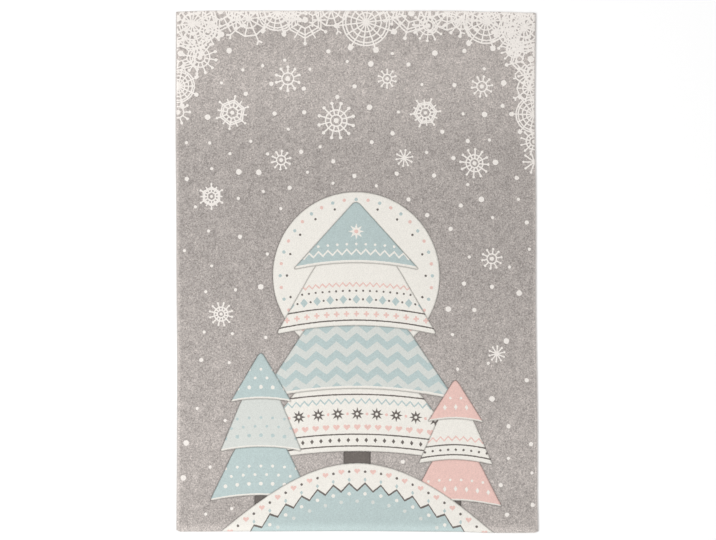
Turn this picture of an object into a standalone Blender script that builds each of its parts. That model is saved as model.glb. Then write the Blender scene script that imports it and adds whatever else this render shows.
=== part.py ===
"""A rectangular pile rug for a child's room, lying flat on the floor.

Metres, +Z up. The origin is on the floor under the middle of the rug, +Y runs along its
length towards the snowy end of its pattern, and +X runs across it.

The rug is woven in one piece: a firm woven back with an upright cut pile on it. The pile
rounds off at all four sides. At the two short ends the back is turned under, so the pile
dips over a wider strip there. The two long sides are overcast with a thick yarn, which
makes a cord along each of them. The pile is carved with a V-shaped groove round the large
figures of the pattern: three fir trees on a snowy mound, with a full moon behind them.
"""

import math

import bmesh
import bpy
from mathutils import Vector

# ---- Driving dimensions, in metres ----------------------------------------------------
WIDTH = 1.597  # across, over both overcast edges
LENGTH = 2.303  # along
PILE_TOP = 0.0130  # floor to the tips of the pile
GAP = 0.0003  # between an overcast edge and the rug beside it

OVERCAST_RADIUS = 0.0036  # of the yarn-wrapped edge
LOWER_CORD_END, UPPER_CORD_END = 0.0050, 0.0015  # how far its ends stop short of the rug's
OVERCAST_POINTS = 48

SWELL_HEIGHT = 0.0007  # the pile's long, shallow rises and dips
SWELL_ACROSS = 0.62  # their wavelengths
SWELL_ALONG = 0.85

LOWER_SOFTNESS, UPPER_SOFTNESS = 0.55, 0.10  # 0 is a square corner, 1 a quarter circle
COLUMNS = 14  # spans of the grid across the flat middle of the pile
ROWS = 20  # and along it

MM = 0.001

# How the pile rounds off: columns are the inset from the edge and the height there, in mm.
SIDE_RIM = ((0.0, 4.2), (1.6, 8.2), (4.2, 10.9), (8.5, 12.3), (16.0, 13.0))
END_RIM = ((0.0, 3.8), (1.6, 7.6), (4.2, 10.0), (9.0, 11.2), (24.0, 12.0), (46.0, 13.0))

# How far each edge strays outwards from a straight line. Columns are the share of the way
# along the edge (from the lower or the left corner) and the distance in mm.
STRAYS = {
    "left": ((0.0, -0.5), (0.15, -2.4), (0.30, -3.6), (0.55, -0.5), (0.80, 3.0), (1.0, 1.0)),
    "right": ((0.0, 7.8), (0.08, 4.4), (0.18, 5.0), (0.45, -1.8), (0.62, -1.6), (0.82, -6.0), (1.0, -2.6)),
    "bottom": ((0.0, 0.4), (0.20, -0.7), (0.48, -2.2), (0.76, 0.4), (0.88, 5.6), (1.0, 5.0)),
    "top": ((0.0, -1.8), (0.12, 2.0), (0.50, 1.2), (0.76, 1.0), (0.88, -3.2), (1.0, -7.4)),
}

# ---- The carved figures, in metres from the middle of the rug ---------------------------
GROOVE_DEPTH = 0.0036
GROOVE_LIFT = 0.0010  # the cutter's widest line lies this far above the tips of the pile
GROOVE_STEP = 0.0002  # each figure's groove is this much deeper than those behind it
GROOVE_JOIN = 0.0012  # a groove runs this far past the middle of the one it ends in

# Columns: name, middle across, foot along, width, height, tiers
FIRS = (
    ("middle", 0.000, -0.935, 1.020, 1.250, 4),
    ("left", -0.425, -1.070, 0.450, 0.720, 3),
    ("right", 0.435, -1.080, 0.410, 0.610, 3),
)
TRUNK_WIDTH = 0.115  # share of the tree's width
TRUNK_HEIGHT = 0.110  # share of the tree's height
TAPER = 0.60  # how much narrower the tiers get by the apex, as a share of the tree's width
NOTCH = 0.64  # how far a tier's top reaches out, as a share of the tier above
DROOP = 0.055  # a tier's tips hang below its middle by this share of its width
CORNER_ROUNDING = 0.030
ARC_STEPS = 4

MOUND_HALF_WIDTH = 0.660
MOUND_FOOT = -1.200  # the mound's own foot lies past the lower end of the rug
MOUND_RISE = 0.350
MOUND_STEPS = 18

MOON_ACROSS, MOON_ALONG = 0.000, -0.020
MOON_RADIUS = 0.370
MOON_STEPS = 48

PILE_COLOUR = (0.456, 0.413, 0.390)
OVERCAST_COLOUR = (0.610, 0.578, 0.558)


# ---- Small helpers ----------------------------------------------------------------------
def linear(table, at):
    """The second column of a table at a value of its first, on straight lines between rows."""
    for (x0, y0), (x1, y1) in zip(table, table[1:]):
        if at <= x1:
            return y0 + (y1 - y0) * (at - x0) / (x1 - x0)
    return table[-1][1]


def eased(table, at):
    """As linear, but turning smoothly at each row."""
    for (x0, y0), (x1, y1) in zip(table, table[1:]):
        if at <= x1:
            share = max(0.0, (at - x0) / (x1 - x0))
            return y0 + (y1 - y0) * (1 - math.cos(math.pi * share)) / 2
    return table[-1][1]


def material(name, colour, roughness):
    made = bpy.data.materials.new(name)
    made.use_nodes = True
    shader = made.node_tree.nodes["Principled BSDF"]
    shader.inputs["Base Color"].default_value = (*colour, 1.0)
    shader.inputs["Roughness"].default_value = roughness
    shader.inputs["Metallic"].default_value = 0.0
    return made


def collection(name):
    made = bpy.data.collections.new(name)
    bpy.context.scene.collection.children.link(made)
    return made


# ---- The rug's plan -----------------------------------------------------------------------
def uncentred(across, along):
    """A point of the plan, from its shares of the way across and along the whole rug."""
    left = -WIDTH / 2 - eased(STRAYS["left"], along) * MM
    right = WIDTH / 2 + eased(STRAYS["right"], along) * MM
    bottom = -LENGTH / 2 - eased(STRAYS["bottom"], across) * MM
    top = LENGTH / 2 + eased(STRAYS["top"], across) * MM
    return Vector((left + (right - left) * across, bottom + (top - bottom) * along))


def plan_middle():
    """The middle of the box round the plan's outline."""
    steps = [i / 100 for i in range(101)]
    xs = [uncentred(side, s).x for side in (0, 1) for s in steps]
    ys = [uncentred(s, end).y for end in (0, 1) for s in steps]
    return Vector((min(xs) + max(xs), min(ys) + max(ys))) / 2


PLAN_MIDDLE = plan_middle()


def plan(across, along):
    return uncentred(across, along) - PLAN_MIDDLE


def swell(x, y):
    across = math.sin(2 * math.pi * x / SWELL_ACROSS + 0.8)
    along = math.cos(2 * math.pi * y / SWELL_ALONG)
    return SWELL_HEIGHT * across * along


# ---- The rug ------------------------------------------------------------------------------
def stations(length, margin, rim, spans):
    """Distances along one side of the grid: the rim's insets at both ends, even spans between."""
    insets = [inset * MM for inset, _ in rim]
    low = [margin + inset for inset in insets]
    high = [length - at for at in reversed(low)]
    step = (high[0] - low[-1]) / spans
    return low + [low[-1] + step * i for i in range(1, spans)] + high


def soft_corner(inset_x, inset_y, softness):
    """Insets of a point near a corner, once the corner is rounded in plan."""
    reach = SIDE_RIM[-1][0] * MM
    if inset_x >= reach or inset_y >= reach:
        return inset_x, inset_y
    a, b = 1 - inset_x / reach, 1 - inset_y / reach
    round_a, round_b = a * math.sqrt(1 - b * b / 2), b * math.sqrt(1 - a * a / 2)
    a += (round_a - a) * softness
    b += (round_b - b) * softness
    return reach * (1 - a), reach * (1 - b)


def place_pile(vert, across, along):
    """Moves one vertex of the even grid to its place on top of the pile."""
    edge = 2 * OVERCAST_RADIUS + GAP
    column = round((vert.co.x + 1) / 2 * (len(across) - 1))
    row = round((vert.co.y + 1) / 2 * (len(along) - 1))
    x, y = across[column], along[row]
    inset_x = min(x, WIDTH - x) - edge
    inset_y = min(y, LENGTH - y)
    softness = LOWER_SOFTNESS if y < LENGTH / 2 else UPPER_SOFTNESS
    soft_x, soft_y = soft_corner(inset_x, inset_y, softness)
    x += (soft_x - inset_x) * (1 if x < WIDTH / 2 else -1)
    y += (soft_y - inset_y) * (1 if y < LENGTH / 2 else -1)
    height = min(linear(SIDE_RIM, inset_x / MM), linear(END_RIM, inset_y / MM)) * MM
    spot = plan(x / WIDTH, y / LENGTH)
    full = height / PILE_TOP
    vert.co = Vector((spot.x, spot.y, height + swell(spot.x, spot.y) * full**4))


def rug_body(pile):
    """The rug as one closed solid: the pile's surface, the rim down to the floor, a flat back."""
    edge = 2 * OVERCAST_RADIUS + GAP
    across = stations(WIDTH, edge, SIDE_RIM, COLUMNS)
    along = stations(LENGTH, 0.0, END_RIM, ROWS)
    bm = bmesh.new()
    bmesh.ops.create_grid(bm, x_segments=len(across) - 1, y_segments=len(along) - 1, size=1)
    for vert in bm.verts:
        place_pile(vert, across, along)
    rim = [e for e in bm.edges if e.is_boundary]
    walls = bmesh.ops.extrude_edge_only(bm, edges=rim)["geom"]
    for vert in (v for v in walls if isinstance(v, bmesh.types.BMVert)):
        vert.co.z = 0.0
    foot = [e for e in bm.edges if e.is_boundary]
    bmesh.ops.holes_fill(bm, edges=foot, sides=0)
    bmesh.ops.recalc_face_normals(bm, faces=bm.faces)
    mesh = bpy.data.meshes.new("rug_body")
    bm.to_mesh(mesh)
    bm.free()
    mesh.materials.append(pile)
    mesh.shade_smooth()
    mesh.set_sharp_from_angle(angle=math.radians(40))
    return bpy.data.objects.new("rug_body", mesh)


# ---- The overcast edges -------------------------------------------------------------------
def overcast_edge(side, yarn):
    """The cord that the overcasting yarn makes along one long side."""
    curve = bpy.data.curves.new(f"overcast_{side}", "CURVE")
    curve.dimensions = "3D"
    curve.bevel_depth = OVERCAST_RADIUS
    curve.bevel_resolution = 2
    curve.use_fill_caps = True
    spline = curve.splines.new("POLY")
    spline.points.add(OVERCAST_POINTS - 1)
    across = OVERCAST_RADIUS / WIDTH
    if side == "right":
        across = 1 - across
    span = LENGTH - LOWER_CORD_END - UPPER_CORD_END
    for i, point in enumerate(spline.points):
        travel = LOWER_CORD_END + span * i / (OVERCAST_POINTS - 1)
        spot = plan(across, travel / LENGTH)
        point.co = (spot.x, spot.y, OVERCAST_RADIUS, 1.0)
    curve.materials.append(yarn)
    return bpy.data.objects.new(f"overcast_{side}", curve)


# ---- The carved figures -------------------------------------------------------------------
def rounded(corners, radius, steps):
    """A closed outline whose corners are turned into short curves."""
    outline = []
    for i, corner in enumerate(corners):
        before, after = corners[i - 1], corners[(i + 1) % len(corners)]
        reach = min(radius, 0.45 * (corner - before).length, 0.45 * (after - corner).length)
        start = corner + (before - corner).normalized() * reach
        end = corner + (after - corner).normalized() * reach
        for k in range(steps + 1):
            t = k / steps
            outline.append(start * (1 - t) ** 2 + corner * 2 * t * (1 - t) + end * t**2)
    return outline


def fir_outline(middle, foot, width, height, tiers):
    """One fir tree: a trunk and its tiers, each wider than the one above."""
    trunk = width * TRUNK_WIDTH / 2
    crown_foot = foot + height * TRUNK_HEIGHT
    tier_height = height * (1 - TRUNK_HEIGHT) / tiers
    right_side = [Vector((trunk, foot)), Vector((trunk, crown_foot))]
    for tier in range(tiers):
        half = width / 2 * (1 - TAPER * tier / tiers)
        hem = crown_foot + tier_height * tier
        if tier:
            right_side.append(Vector((half * NOTCH, hem - 2 * half * DROOP * NOTCH**2)))
        right_side.append(Vector((half, hem - 2 * half * DROOP)))
    apex = Vector((0.0, foot + height))
    left_side = [Vector((-p.x, p.y)) for p in reversed(right_side)]
    corners = [*right_side, apex, *left_side]
    return [p + Vector((middle, 0.0)) for p in rounded(corners, CORNER_ROUNDING, ARC_STEPS)]


def mound_outline():
    """The snowy mound that the trees stand on: one long hump that runs off the lower end."""
    shares = [i / MOUND_STEPS for i in range(MOUND_STEPS + 1)]
    xs = [MOUND_HALF_WIDTH * (2 * share - 1) for share in shares]
    ys = [MOUND_FOOT + MOUND_RISE * math.sin(math.pi * share) for share in shares]
    return [Vector(spot) for spot in zip(xs, ys)]


def moon_outline():
    """The full moon, which stands behind the middle tree."""
    angles = [2 * math.pi * i / MOON_STEPS for i in range(MOON_STEPS)]
    centre = Vector((MOON_ACROSS, MOON_ALONG))
    return [centre + Vector((math.cos(a), math.sin(a))) * MOON_RADIUS for a in angles]


def inside(point, outline):
    """True if the point lies within the closed outline."""
    within = False
    for a, b in zip(outline, outline[1:] + outline[:1]):
        if (a.y > point.y) != (b.y > point.y):
            if point.x < a.x + (b.x - a.x) * (point.y - a.y) / (b.y - a.y):
                within = not within
    return within


def crossing(outline, inner, outer):
    """Just past where the line from a point outside an outline to one inside it crosses it."""
    towards = (inner - outer).normalized()
    for _ in range(20):
        middle = (inner + outer) / 2
        if inside(middle, outline):
            inner = middle
        else:
            outer = middle
    return outer + towards * GROOVE_JOIN


def seen_runs(outline, covers):
    """The stretches of a closed outline that no figure in front of it covers."""
    hidden = [next((c for c in covers if inside(p, c)), None) for p in outline]
    if not any(hidden):
        return [outline], True
    start = next(i for i, c in enumerate(hidden) if c and not hidden[(i + 1) % len(hidden)])
    order = [(start + k) % len(outline) for k in range(len(outline) + 1)]
    runs, run = [], []
    for previous, here in zip(order, order[1:]):
        if hidden[here] and run:
            runs.append([*run, crossing(hidden[here], outline[here], outline[previous])])
            run = []
        elif not hidden[here]:
            if not run:
                run = [crossing(hidden[previous], outline[previous], outline[here])]
            run.append(outline[here])
    return runs, False


def groove_cutter(name, points, cyclic, depth, cutters):
    """A tube of four sides along the points: its lower half cuts a V-shaped groove."""
    curve = bpy.data.curves.new(name, "CURVE")
    curve.dimensions = "3D"
    curve.twist_mode = "Z_UP"
    curve.bevel_depth = depth + GROOVE_LIFT
    curve.bevel_resolution = 0
    curve.use_fill_caps = True
    spline = curve.splines.new("POLY")
    spline.points.add(len(points) - 1)
    for point, spot in zip(spline.points, points):
        woven = plan(spot.x / WIDTH + 0.5, spot.y / LENGTH + 0.5)
        point.co = (woven.x, woven.y, PILE_TOP + GROOVE_LIFT, 1.0)
    spline.use_cyclic_u = cyclic
    tube = bpy.data.objects.new(name, curve)
    cutters.objects.link(tube)
    graph = bpy.context.evaluated_depsgraph_get()
    mesh = bpy.data.meshes.new_from_object(tube.evaluated_get(graph))
    bm = bmesh.new()
    bm.from_mesh(mesh)
    bmesh.ops.remove_doubles(bm, verts=bm.verts, dist=1e-5)
    bmesh.ops.recalc_face_normals(bm, faces=bm.faces)
    bm.to_mesh(mesh)
    bm.free()
    cutter = bpy.data.objects.new(name, mesh)
    cutter.matrix_world = tube.matrix_world
    bpy.data.objects.remove(tube)
    cutters.objects.link(cutter)
    cutter.hide_render = True
    cutter.display_type = "WIRE"
    return cutter


def carve(body, cutters):
    """Cuts a groove round what shows of each figure. Those later in the list stand in front."""
    figures = [("moon", moon_outline())]
    figures += [(name, fir_outline(*sizes)) for name, *sizes in FIRS]
    figures.append(("mound", mound_outline()))
    for rank, (name, outline) in enumerate(figures):
        in_front = [later for _, later in figures[rank + 1 :]]
        runs, cyclic = seen_runs(outline, in_front)
        depth = GROOVE_DEPTH + GROOVE_STEP * rank
        for number, run in enumerate(runs):
            cutter = groove_cutter(f"groove_{name}_{number}", run, cyclic, depth, cutters)
            cut = body.modifiers.new(cutter.name, "BOOLEAN")
            cut.operation = "DIFFERENCE"
            cut.solver = "EXACT"
            cut.object = cutter


def main():
    for obj in list(bpy.data.objects):
        bpy.data.objects.remove(obj, do_unlink=True)
    rug = collection("kids_rug")
    cutters = collection("cutters")
    pile = material("pile", PILE_COLOUR, 0.95)
    yarn = material("overcast_yarn", OVERCAST_COLOUR, 0.9)
    body = rug_body(pile)
    rug.objects.link(body)
    carve(body, cutters)
    for side in ("left", "right"):
        rug.objects.link(overcast_edge(side, yarn))


main()
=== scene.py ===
"""The looks of a rectangular pile rug for a child's room, lying flat on a pale floor.

Metres, in the CAD model's frame: +Y runs along the rug towards the snowy end of its pattern.

The pattern is a list of flat shapes, painted one over another. One triangulation of the
whole rug holds their outlines, rows of points along the rim and the carved grooves, and an
even grid. The pile gets its height at each point, and each yarn becomes a piece of its own.
"""

from collections import namedtuple
from math import ceil, cos, hypot, pi, radians, sin, sqrt

import bpy
import numpy as np
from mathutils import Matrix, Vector
from mathutils.geometry import delaunay_2d_cdt
from mathutils.kdtree import KDTree


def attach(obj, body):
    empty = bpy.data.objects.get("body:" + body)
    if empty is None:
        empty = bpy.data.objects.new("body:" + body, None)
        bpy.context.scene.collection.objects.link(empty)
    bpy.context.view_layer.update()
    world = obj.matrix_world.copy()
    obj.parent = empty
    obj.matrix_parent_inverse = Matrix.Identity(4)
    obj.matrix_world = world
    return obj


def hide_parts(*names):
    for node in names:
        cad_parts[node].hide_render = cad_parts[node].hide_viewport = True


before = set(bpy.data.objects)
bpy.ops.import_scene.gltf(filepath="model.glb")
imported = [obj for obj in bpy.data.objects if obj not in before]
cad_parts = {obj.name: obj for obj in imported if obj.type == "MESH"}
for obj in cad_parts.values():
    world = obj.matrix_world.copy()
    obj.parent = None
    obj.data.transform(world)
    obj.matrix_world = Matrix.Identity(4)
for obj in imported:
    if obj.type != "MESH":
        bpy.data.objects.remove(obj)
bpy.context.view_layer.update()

MM = 0.001
SEED = 20

# ---- The rug, as in the CAD part
WIDTH = 1.597
LENGTH = 2.303
PILE_TOP = 0.013
GAP = 0.0003
CORD_RADIUS = 0.0036
SWELL_HEIGHT, SWELL_ACROSS, SWELL_ALONG, SWELL_PHASE = 0.0007, 0.62, 0.85, 0.8
LOWER_SOFTNESS, UPPER_SOFTNESS = 0.55, 0.1  # how round the corners are
LOWER_CORD_END, UPPER_CORD_END = 0.005, 0.0015  # from the rug's ends to the cord's

# How the pile rounds off: inset from the edge and height there, in mm
SIDE_RIM = ((0.0, 4.2), (1.6, 8.2), (4.2, 10.9), (8.5, 12.3), (16.0, 13.0))
END_RIM = ((0.0, 3.8), (1.6, 7.6), (4.2, 10.0), (9.0, 11.2), (24.0, 12.0), (46.0, 13.0))

# How far each edge strays outwards: share of the way from its lower or left corner, and mm
STRAYS = {
    "left": ((0.0, -0.5), (0.15, -2.4), (0.3, -3.6), (0.55, -0.5), (0.8, 3.0), (1.0, 1.0)),
    "right": ((0.0, 7.8), (0.08, 4.4), (0.18, 5.0), (0.45, -1.8), (0.62, -1.6), (0.82, -6.0), (1.0, -2.6)),
    "bottom": ((0.0, 0.4), (0.2, -0.7), (0.48, -2.2), (0.76, 0.4), (0.88, 5.6), (1.0, 5.0)),
    "top": ((0.0, -1.8), (0.12, 2.0), (0.5, 1.2), (0.76, 1.0), (0.88, -3.2), (1.0, -7.4)),
}

# ---- The pile's fine make
BACK_TOP = 0.0022  # thickness of the woven back
BACK_COLUMNS, BACK_ROWS = 48, 68
BACK_SHARP = 40  # degrees
GRID_STEP = 0.0036  # of the even grid
OUTLINE_STEP = 0.0036  # between points along outlines
FEWEST_SIDES = 10  # of a disc
SHORTEST_SIDE = 1e-5  # shorter sides are left out
CLEAR_OF_OUTLINE = 0.0016  # how far the grid keeps from outlines
SAME_POINT = 0.00012  # points closer than this become one
SMALLEST_SHAPE = 2e-6  # square metres left of a clipped shape
WALL_INSET = 0.003  # room for the rim's upright wall
RIM_ROWS = (0.0, 1.6, 4.2, 8.5)  # insets of points, in mm
GRID_FROM_RIM = 2.6  # from the last to the grid, in mm

GROOVE_DEPTH = 0.0042
GROOVE_HALF = 0.0048  # half its width
GROOVE_ROWS = (0.0019, 0.004)  # of points beside its deepest line
GROOVE_CLEAR = 0.0056  # the grid starts this far from it
ROW_FROM_GROOVE = 0.9 * GROOVE_ROWS[0]  # at least, from a carved line
ROW_FROM_OUTLINE = 0.8 * CLEAR_OF_OUTLINE
GROOVE_SHADE = 0.42  # painted shade: how much darker its deepest line is
GROOVE_SHADE_HALF = 0.9 * GROOVE_HALF

LEAN_OUT = 0.002  # of the pile, over the overcast cord
LEAN_LIFT = 0.0026
LEAN_INSET = 0.0042

TUFTS = 350.0  # in one metre
FRAY = 0.0024  # widest frayed border of two tufts
TUFT_CELL = 0.0036  # of the relief's smallest hills
WIDE_CELL = 2.3 * TUFT_CELL  # of its wider hills
WIDE_SHARE = 0.6  # of the small hills' height
RAGGED = 0.0009  # how far tufts push the outlines about
RUFFLE_ROUNDS = 6  # times that too hard a push is halved
NOISE_SIZE = 1024  # cells before the random hills repeat
RAGGED_SEEDS, RELIEF_SEEDS, WRAP_SEED = (1, 2), (3, 4), 7

# Painted light: at the rim the pile leans outwards, and its colour is made lighter there for the light it
# catches: how much, and how far in
SIDE_LIGHT, SIDE_LIGHT_REACH = 0.34, 0.013
END_LIGHT, END_LIGHT_START, END_LIGHT_REACH = 0.32, 0.008, 0.04

# Painted light and shade along the rug, for the way the light falls on the pile's lay: place in metres and
# factor
NAP_LIGHT_AND_SHADE = ((-1.15, 1.03), (-0.85, 1.08), (-0.4, 1.02), (0.05, 0.945), (0.45, 0.945), (0.9, 1.14), (1.15, 1.05))

MAP_MARGIN = 0.004  # free round a bake map, as a share of its side
MAP_OVERLAP = 0.006  # of the two halves of a folded strip

# ---- The overcasting yarn
WRAP_PITCH = 0.0034  # along the edge
WRAP_RINGS = 5  # rings of points for each wrap
WRAP_SIDES = 10
WRAP_DEPTH = 0.2  # of the lines between wraps, as a share of the radius
WRAP_SLANT = 1.3  # radians that a wrap's top is ahead of its side
WRAP_CAP = 0.003  # over which the cord's ends round off
WRAP_BLUNT = 0.05  # least square of the radius's share at the very end
WRAP_UNEVEN = 0.05  # how much the radius varies
WRAP_PATCH = 0.011  # over what length
WRAP_ROUND = 0.1  # metres of that noise for a radian round the cord
CREASE_SHADE = 0.28  # painted shade: how much darker the lines between wraps are

# ---- Yarns
# The colour that the photo shows (sRGB, 0-255), the factors of the lighter and darker strands,
# the tufts' height in metres, and how strongly the painted light and shade of the pile act on it
Yarn = namedtuple("Yarn", "colour light dark relief lean")
YARNS = {
    "grey": Yarn((191, 183, 178), 1.33, 0.64, 0.00055, 1.0),
    "cream": Yarn((247, 243, 235), 1.02, 0.965, 0.00025, 0.25),
    "snow": Yarn((250, 244, 238), 1.02, 0.965, 0.0003, 0.25),
    "aqua": Yarn((193, 209, 208), 1.05, 0.93, 0.0003, 0.6),
    "pale_aqua": Yarn((221, 224, 219), 1.03, 0.96, 0.00025, 0.4),
    "pink": Yarn((242, 204, 195), 1.04, 0.94, 0.00025, 0.4),
    "dark": Yarn((113, 106, 101), 1.15, 0.85, 0.0004, 0.8),
}
EDGE_YARN = (216, 211, 207)
BACK_YARN = (196, 184, 164)
LIGHT_LEVEL = 1.08  # how bright white shows in the scene's light
OWN_TONE = 0.32  # of the strands' contrast, between one tuft and the next
CLOUD_TONE = 0.3  # of it, in wide patches
NOISE_SPAN = (0.3, 0.7)  # where nearly all the values of a noise node lie
STRIPS = ("left", "middle", "right")  # of the grey ground

# ---- The carved figures
# Columns: name, middle across, foot along, width, height, tiers
FIRS = (
    ("middle", 0.0, -0.935, 1.02, 1.25, 4),
    ("left", -0.425, -1.07, 0.45, 0.72, 3),
    ("right", 0.435, -1.08, 0.41, 0.61, 3),
)
TRUNK_WIDTH, TRUNK_HEIGHT = 0.115, 0.11  # as shares of the tree's
TAPER = 0.6  # how much narrower the firs get
NOTCH = 0.64  # neck between tiers, as a share of the upper one's width
SHOULDER_IN, SHOULDER_UP = 0.5, 0.3  # a tier's hidden top corners
DROOP = 0.055  # of a hem at its tips, as a share of its width
HEM_SHARE = 0.86  # of a tier's width that its hem takes up
HEM_STEPS, LINE_STEPS = 12, 24
LINE_REACH = 1.1  # width of a line, by its tier's
CORNER_ROUNDING = 0.03
CORNER_SHARE = 0.45  # most of a side that a corner takes up
ARC_STEPS = 8
HEM_LINE, FINE_LINE = 0.024, 0.006  # thickness

MOUND_HALF = 0.66
MOUND_FOOT = -1.2
MOUND_RISE = 0.35
MOUND_STEPS = 40
CREST_DEPTH = 0.1  # from its top down to its zigzag
CREST_LINE = 0.009  # thickness of its dark line
TOOTH_PITCH, TOOTH_HEIGHT = 0.07, 0.034
PAST_END = 0.06  # how far shapes run off the rug's end

MOON = (0.0, -0.02, 0.37)  # across, along and radius
MOON_BEADS = 40
OUTER_RING, OUTER_BEAD = 0.91, 0.0075  # share of its radius, radius of a bead
INNER_RING, INNER_BEAD = 0.83, 0.0055

STAR_POINTS, STAR_WAIST = 8, 0.45
HEART_STEPS, HEART_WIDTH = 28, 32  # the formula's width

# ---- Camera, floor and light
PHOTO_WIDTH, PHOTO_HEIGHT = 716, 540
RUG_CENTRE_PX = (356.95, 271.75)
PIXEL = 0.00442  # metres of floor for a pixel
LENS = 100.0
SENSOR = 36.0
FLOOR_HALF = 9
FLOOR_DROP = 0.0002
FLOOR_SHADE = 0.97
SKY_STRENGTH = 0.86
LAMP_PLACE, LAMP_SIZE, LAMP_POWER = (-3.2, -1.0, 4.6), 2.4, 120.0


# ---- Small helpers
def eased(table, at):
    """A table's second column at values of its first, turning smoothly at each row."""
    xs, ys = np.array(table).T
    at = np.clip(at, xs[0], xs[-1])
    row = np.clip(np.searchsorted(xs, at, side="left") - 1, 0, len(xs) - 2)
    share = (at - xs[row]) / (xs[row + 1] - xs[row])
    return ys[row] + (ys[row + 1] - ys[row]) * (1 - np.cos(np.pi * share)) / 2


def smooth_step(share):
    share = np.clip(share, 0.0, 1.0)
    return share * share * (3 - 2 * share)


def value_noise(x, y, cell, seed):
    """Smooth random hills from -1 to 1 on a square lattice."""
    lattice = np.random.default_rng(seed).uniform(-1, 1, (NOISE_SIZE, NOISE_SIZE))
    u, v = x / cell, y / cell
    column, row = np.floor(u).astype(int), np.floor(v).astype(int)
    a, b = smooth_step(u - column), smooth_step(v - row)
    sides = []
    for rows in (row, row + 1):
        left, right = (lattice[rows % NOISE_SIZE, (column + step) % NOISE_SIZE] for step in (0, 1))
        sides.append(left * (1 - a) + right * a)
    return sides[0] * (1 - b) + sides[1] * b


def linear_colour(srgb):
    """The linear colour that shows a colour of the photo under the scene's light."""
    shares = [channel / 255 for channel in srgb]
    linear = [s / 12.92 if s <= 0.04045 else ((s + 0.055) / 1.055) ** 2.4 for s in shares]
    return tuple(min(1.0, value / LIGHT_LEVEL) for value in linear)


# ---- The rug's plan
PLAN_STEPS = 100


def uncentred(across, along):
    left = -WIDTH / 2 - eased(STRAYS["left"], along) * MM
    right = WIDTH / 2 + eased(STRAYS["right"], along) * MM
    bottom = -LENGTH / 2 - eased(STRAYS["bottom"], across) * MM
    top = LENGTH / 2 + eased(STRAYS["top"], across) * MM
    return left + (right - left) * across, bottom + (top - bottom) * along


def plan_middle():
    """The middle of the box round the skewed plan."""
    shares = np.linspace(0, 1, PLAN_STEPS + 1)
    xs, ys = uncentred(*np.meshgrid(shares, shares))
    return (xs.min() + xs.max()) / 2, (ys.min() + ys.max()) / 2


MIDDLE_X, MIDDLE_Y = plan_middle()


def plan(x, y):
    """Where points of an even rug lie on this slightly skewed one."""
    px, py = uncentred(x / WIDTH + 0.5, y / LENGTH + 0.5)
    return px - MIDDLE_X, py - MIDDLE_Y


def swell(x, y):
    across = np.sin(2 * np.pi * x / SWELL_ACROSS + SWELL_PHASE)
    along = np.cos(2 * np.pi * y / SWELL_ALONG)
    return SWELL_HEIGHT * across * along


# ---- Outlines of the pattern's shapes
def disc(x, y, radius):
    steps = max(FEWEST_SIDES, int(2 * pi * radius / OUTLINE_STEP))
    angles = [2 * pi * i / steps for i in range(steps)]
    return [(x + radius * cos(a), y + radius * sin(a)) for a in angles]


def star(x, y, radius):
    corners = []
    for i in range(2 * STAR_POINTS):
        angle = pi * i / STAR_POINTS
        reach = radius * (STAR_WAIST if i % 2 else 1.0)
        corners.append((x + reach * sin(angle), y + reach * cos(angle)))
    return corners[::-1]


def diamond(x, y, width, height):
    return [(x - width / 2, y), (x, y - height / 2), (x + width / 2, y), (x, y + height / 2)]


def heart(x, y, size):
    outline = []
    for i in range(HEART_STEPS):
        t = -2 * pi * i / HEART_STEPS
        across = 16 * sin(t) ** 3
        up = 13 * cos(t) - 5 * cos(2 * t) - 2 * cos(3 * t) - cos(4 * t)
        outline.append((x + across * size / HEART_WIDTH, y + up * size / HEART_WIDTH))
    return outline


def cross(x, y, size, thick):
    s, t = size / 2, thick / 2
    corners = [(-t, -s), (t, -s), (t, -t)]
    for _ in range(3):
        corners += [(-b, a) for a, b in corners[-3:]]
    return [(x + a, y + b) for a, b in corners]


def sides_of(outline):
    """Pairs of neighbours round a closed outline."""
    return zip(outline, outline[1:] + outline[:1])


def stroke(x0, y0, x1, y1, width):
    length = hypot(x1 - x0, y1 - y0)
    nx, ny = -(y1 - y0) / length * width / 2, (x1 - x0) / length * width / 2
    return [(x0 - nx, y0 - ny), (x1 - nx, y1 - ny), (x1 + nx, y1 + ny), (x0 + nx, y0 + ny)]


def rounded(corners, radius, steps):
    """An outline with curved corners."""
    outline = []
    for i, corner in enumerate(corners):
        before, after = corners[i - 1], corners[(i + 1) % len(corners)]
        reach = min(radius, CORNER_SHARE * (corner - before).length, CORNER_SHARE * (after - corner).length)
        start = corner + (before - corner).normalized() * reach
        end = corner + (after - corner).normalized() * reach
        for k in range(steps + 1):
            t = k / steps
            outline.append(start * (1 - t) ** 2 + corner * 2 * t * (1 - t) + end * t**2)
    return [(p.x, p.y) for p in outline]


# ---- The painting: shapes, each over those before it
# A figure is carved round and hides what is behind it. Any other shape only colours the
# figure that it is within.
Shape = namedtuple("Shape", "outline yarn figure within", defaults=(None, None))
GROUND = "ground"
painting = []


def figure(name, outline, yarn):
    painting.append(Shape(outline, yarn, figure=name))


def motif(within, outline, yarn):
    painting.append(Shape(outline, yarn, within=within))


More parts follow.
